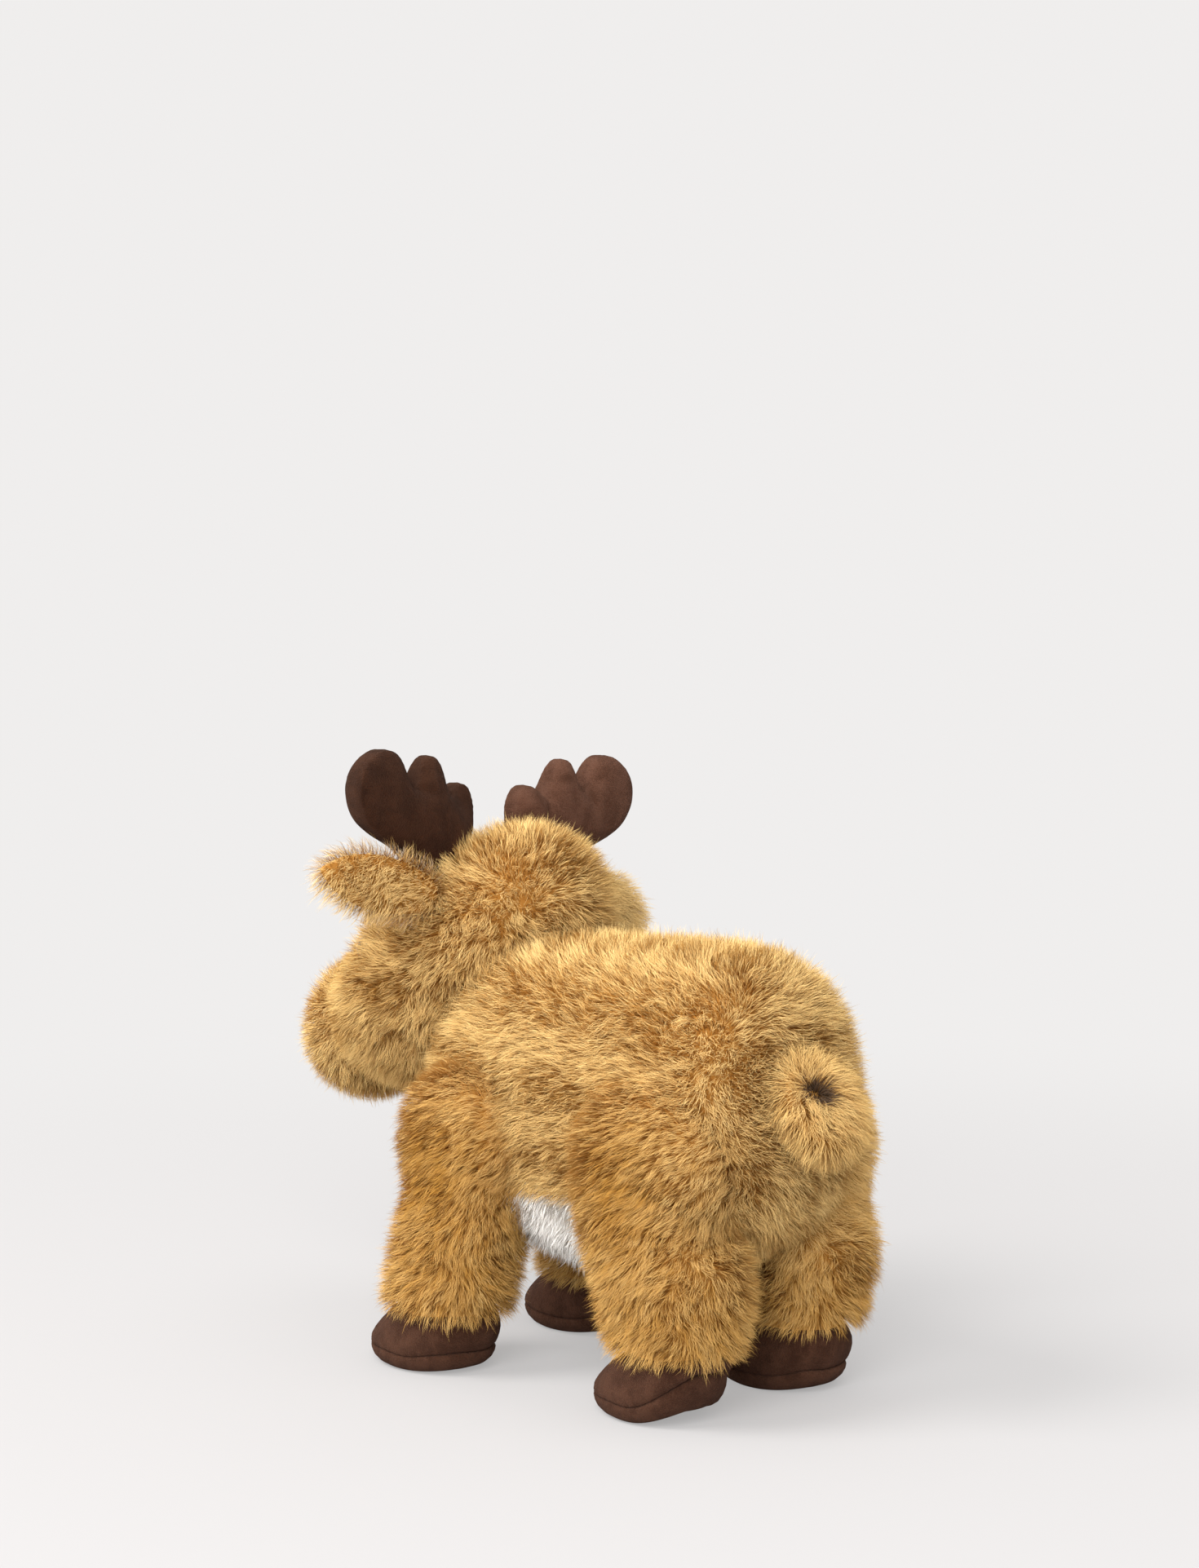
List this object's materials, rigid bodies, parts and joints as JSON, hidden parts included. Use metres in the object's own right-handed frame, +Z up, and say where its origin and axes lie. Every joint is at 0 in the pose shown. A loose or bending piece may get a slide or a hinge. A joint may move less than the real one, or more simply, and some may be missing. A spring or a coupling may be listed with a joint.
{
  "type": "plush deer",
  "caption": "Standing plush deer with long tan fur, velour antlers and hooves, drooping ears, a short tail, and a turning head and swinging legs on stuffed joints",
  "frame": {"origin": "middle of the bounding box at the level of the floor that the four hooves stand on", "axes": "the deer looks along -Y, its left side is +X, +Z is up"},
  "size_m": [0.2012, 0.3644, 0.2965],
  "materials": {
    "tan_fur": "long pile fur",
    "white_fur": "long pile fur",
    "brown_velour": "short nap velour",
    "stuffing": "polyester fibre",
    "eye_plastic": "polished",
    "washer_plastic": "moulded"
  },
  "bodies": {
    "torso": {"body_cover": "tan_fur", "belly_panel": "white_fur", "body_stuffing": "stuffing"},
    "head": {"head_cover": "tan_fur", "muzzle_cover": "tan_fur", "head_stuffing": "stuffing", "nose": "brown_velour", "left_eye": "eye_plastic", "left_eye_washer": "washer_plastic", "right_eye": "eye_plastic", "right_eye_washer": "washer_plastic"},
    "left_ear": {"left_ear_cover": "tan_fur", "left_ear_lining": "white_fur"},
    "right_ear": {"right_ear_cover": "tan_fur", "right_ear_lining": "white_fur"},
    "left_antler": {"left_antler_cover": "brown_velour", "left_antler_stuffing": "stuffing"},
    "right_antler": {"right_antler_cover": "brown_velour", "right_antler_stuffing": "stuffing"},
    "tail": {"tail_cover": "tan_fur", "tail_lining": "brown_velour"},
    "left_front_leg": {"left_front_leg_cover": "tan_fur", "left_front_leg_stuffing": "stuffing", "left_front_hoof_cover": "brown_velour", "left_front_hoof_sole": "brown_velour"},
    "right_front_leg": {"right_front_leg_cover": "tan_fur", "right_front_leg_stuffing": "stuffing", "right_front_hoof_cover": "brown_velour", "right_front_hoof_sole": "brown_velour"},
    "left_hind_leg": {"left_hind_leg_cover": "tan_fur", "left_hind_leg_stuffing": "stuffing", "left_hind_hoof_cover": "brown_velour", "left_hind_hoof_sole": "brown_velour"},
    "right_hind_leg": {"right_hind_leg_cover": "tan_fur", "right_hind_leg_stuffing": "stuffing", "right_hind_hoof_cover": "brown_velour", "right_hind_hoof_sole": "brown_velour"}
  },
  "joints": [
    {"name": "head_turn", "type": "hinge", "parent": "torso", "child": "head", "pos_m": [0.00608, -0.032, 0.16657], "axis": [0, -0.6157, 0.788], "range_deg": [-20, 20], "stiffness_Nm_per_rad": 0.6},
    {"name": "left_ear_flop", "type": "hinge", "parent": "head", "child": "left_ear", "pos_m": [0.04824, -0.05057, 0.22499], "axis": [-0.2639, 0.0821, 0.961], "range_deg": [-6, 25], "stiffness_Nm_per_rad": 0.03},
    {"name": "right_ear_flop", "type": "hinge", "parent": "head", "child": "right_ear", "pos_m": [-0.04727, -0.04557, 0.21662], "axis": [0.3298, 0.0746, -0.9411], "range_deg": [-6, 25], "stiffness_Nm_per_rad": 0.03},
    {"name": "left_antler_flex", "type": "hinge", "parent": "head", "child": "left_antler", "pos_m": [0.02759, -0.06852, 0.24333], "axis": [0.9948, -0.0521, 0.0872], "range_deg": [-15, 15], "stiffness_Nm_per_rad": 0.1},
    {"name": "right_antler_flex", "type": "hinge", "parent": "head", "child": "right_antler", "pos_m": [-0.03209, -0.06539, 0.2381], "axis": [-0.9948, 0.0521, -0.0872], "range_deg": [-15, 15], "stiffness_Nm_per_rad": 0.1},
    {"name": "tail_lift", "type": "hinge", "parent": "torso", "child": "tail", "pos_m": [0.00608, 0.15116, 0.162], "axis": [1, 0, 0], "range_deg": [0, 50], "stiffness_Nm_per_rad": 0.03},
    {"name": "left_front_leg_swing", "type": "hinge", "parent": "torso", "child": "left_front_leg", "pos_m": [0.05408, -0.02034, 0.112], "axis": [1, 0, 0], "range_deg": [-8, 8], "stiffness_Nm_per_rad": 1.5},
    {"name": "right_front_leg_swing", "type": "hinge", "parent": "torso", "child": "right_front_leg", "pos_m": [-0.04192, -0.02034, 0.112], "axis": [1, 0, 0], "range_deg": [-8, 8], "stiffness_Nm_per_rad": 1.5},
    {"name": "left_hind_leg_swing", "type": "hinge", "parent": "torso", "child": "left_hind_leg", "pos_m": [0.05008, 0.09966, 0.117], "axis": [1, 0, 0], "range_deg": [-8, 8], "stiffness_Nm_per_rad": 1.5},
    {"name": "right_hind_leg_swing", "type": "hinge", "parent": "torso", "child": "right_hind_leg", "pos_m": [-0.03792, 0.09966, 0.117], "axis": [1, 0, 0], "range_deg": [-8, 8], "stiffness_Nm_per_rad": 1.5}
  ]
}
